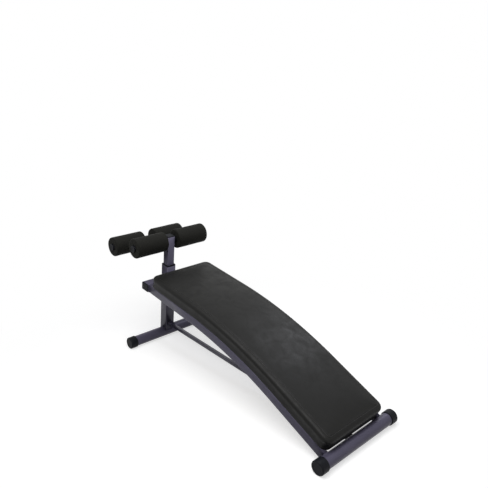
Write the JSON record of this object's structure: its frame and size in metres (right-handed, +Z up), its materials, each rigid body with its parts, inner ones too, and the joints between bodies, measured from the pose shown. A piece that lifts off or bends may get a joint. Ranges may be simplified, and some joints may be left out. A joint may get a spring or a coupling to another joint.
{
  "type": "decline sit up bench",
  "caption": "Curved decline sit-up bench: upholstered pad on bent steel rails, round feet, and a height-adjustable leg holder with foam knee and ankle rollers.",
  "frame": {"origin": "on the floor, under the middle of the bench's bounding box", "axes": "+X along the bench towards its low end, +Z up, +Y to the side that carries the clamp knob"},
  "size_m": [1.426, 0.45, 0.5764],
  "materials": {
    "frame_paint": "satin",
    "black_plastic": "satin",
    "foam": "matte",
    "vinyl": "satin",
    "plywood": "matte",
    "zinc_steel": "satin"
  },
  "bodies": {
    "bench_frame": {"front_foot_tube": "frame_paint", "rear_foot_tube": "frame_paint", "front_foot_cap_left": "black_plastic", "front_foot_cap_right": "black_plastic", "rear_foot_cap_left": "black_plastic", "rear_foot_cap_right": "black_plastic", "side_rail_left": "frame_paint", "side_rail_right": "frame_paint", "pad_board": "plywood", "pad_cushion": "vinyl", "pad_strap_low": "frame_paint", "pad_strap_high": "frame_paint", "pad_screw_low_left": "zinc_steel", "pad_screw_low_right": "zinc_steel", "pad_screw_high_left": "zinc_steel", "pad_screw_high_right": "zinc_steel", "front_post": "frame_paint", "post_bush": "black_plastic", "clamp_boss": "frame_paint", "front_cross_tube": "frame_paint", "cross_tube_plug_left": "black_plastic", "cross_tube_plug_right": "black_plastic", "post_flange": "frame_paint", "flange_bolt_left": "zinc_steel", "flange_bolt_right": "zinc_steel", "flange_nut_left": "zinc_steel", "flange_nut_right": "zinc_steel", "tie_bar": "frame_paint", "tie_bracket_front": "frame_paint", "tie_bracket_rear": "frame_paint", "tie_bolt_front": "zinc_steel", "tie_bolt_rear": "zinc_steel", "tie_nut_front": "zinc_steel", "tie_nut_rear": "zinc_steel"},
    "leg_holder": {"leg_post": "frame_paint", "leg_post_plug": "black_plastic", "leg_post_glide": "black_plastic", "ankle_arm": "frame_paint", "ankle_arm_plug": "black_plastic", "arm_gusset": "frame_paint", "knee_bar": "frame_paint", "knee_bar_plug_left": "black_plastic", "knee_bar_plug_right": "black_plastic", "knee_spacer_left": "black_plastic", "knee_spacer_right": "black_plastic", "ankle_bar": "frame_paint", "ankle_bar_plug_left": "black_plastic", "ankle_bar_plug_right": "black_plastic", "ankle_spacer_left": "black_plastic", "ankle_spacer_right": "black_plastic"},
    "roller_knee_left": {"knee_roller_left": "foam"},
    "roller_knee_right": {"knee_roller_right": "foam"},
    "roller_ankle_left": {"ankle_roller_left": "foam"},
    "roller_ankle_right": {"ankle_roller_right": "foam"},
    "screw": {"clamp_screw": "zinc_steel"},
    "knob": {"clamp_knob": "black_plastic"}
  },
  "joints": [
    {"name": "leg_holder_slide", "type": "slide", "parent": "bench_frame", "child": "leg_holder", "axis": [0.1132, 0, 0.9936], "range_m": [-0.04, 0.06]},
    {"name": "knee_roller_left_spin", "type": "hinge", "parent": "leg_holder", "child": "roller_knee_left", "pos_m": [-0.46793, 0.1, 0.52902], "axis": [0, 1, 0], "continuous": true},
    {"name": "knee_roller_right_spin", "type": "hinge", "parent": "leg_holder", "child": "roller_knee_right", "pos_m": [-0.46793, -0.1, 0.52902], "axis": [0, 1, 0], "continuous": true},
    {"name": "ankle_roller_left_spin", "type": "hinge", "parent": "leg_holder", "child": "roller_ankle_left", "pos_m": [-0.66549, 0.1, 0.4899], "axis": [0, 1, 0], "continuous": true},
    {"name": "ankle_roller_right_spin", "type": "hinge", "parent": "leg_holder", "child": "roller_ankle_right", "pos_m": [-0.66549, -0.1, 0.4899], "axis": [0, 1, 0], "continuous": true},
    {"name": "clamp_screw_travel", "type": "slide", "parent": "bench_frame", "child": "screw", "axis": [0, 1, 0], "range_m": [0, 0.00255]},
    {"name": "clamp_knob_turn", "type": "hinge", "parent": "screw", "child": "knob", "pos_m": [-0.49521, 0.0376, 0.28957], "axis": [0, 1, 0], "range_deg": [0, 720]}
  ],
  "couplings": [
    {"joint": "clamp_screw_travel", "follows": "clamp_knob_turn", "m_per_rad": 0.0001989}
  ]
}
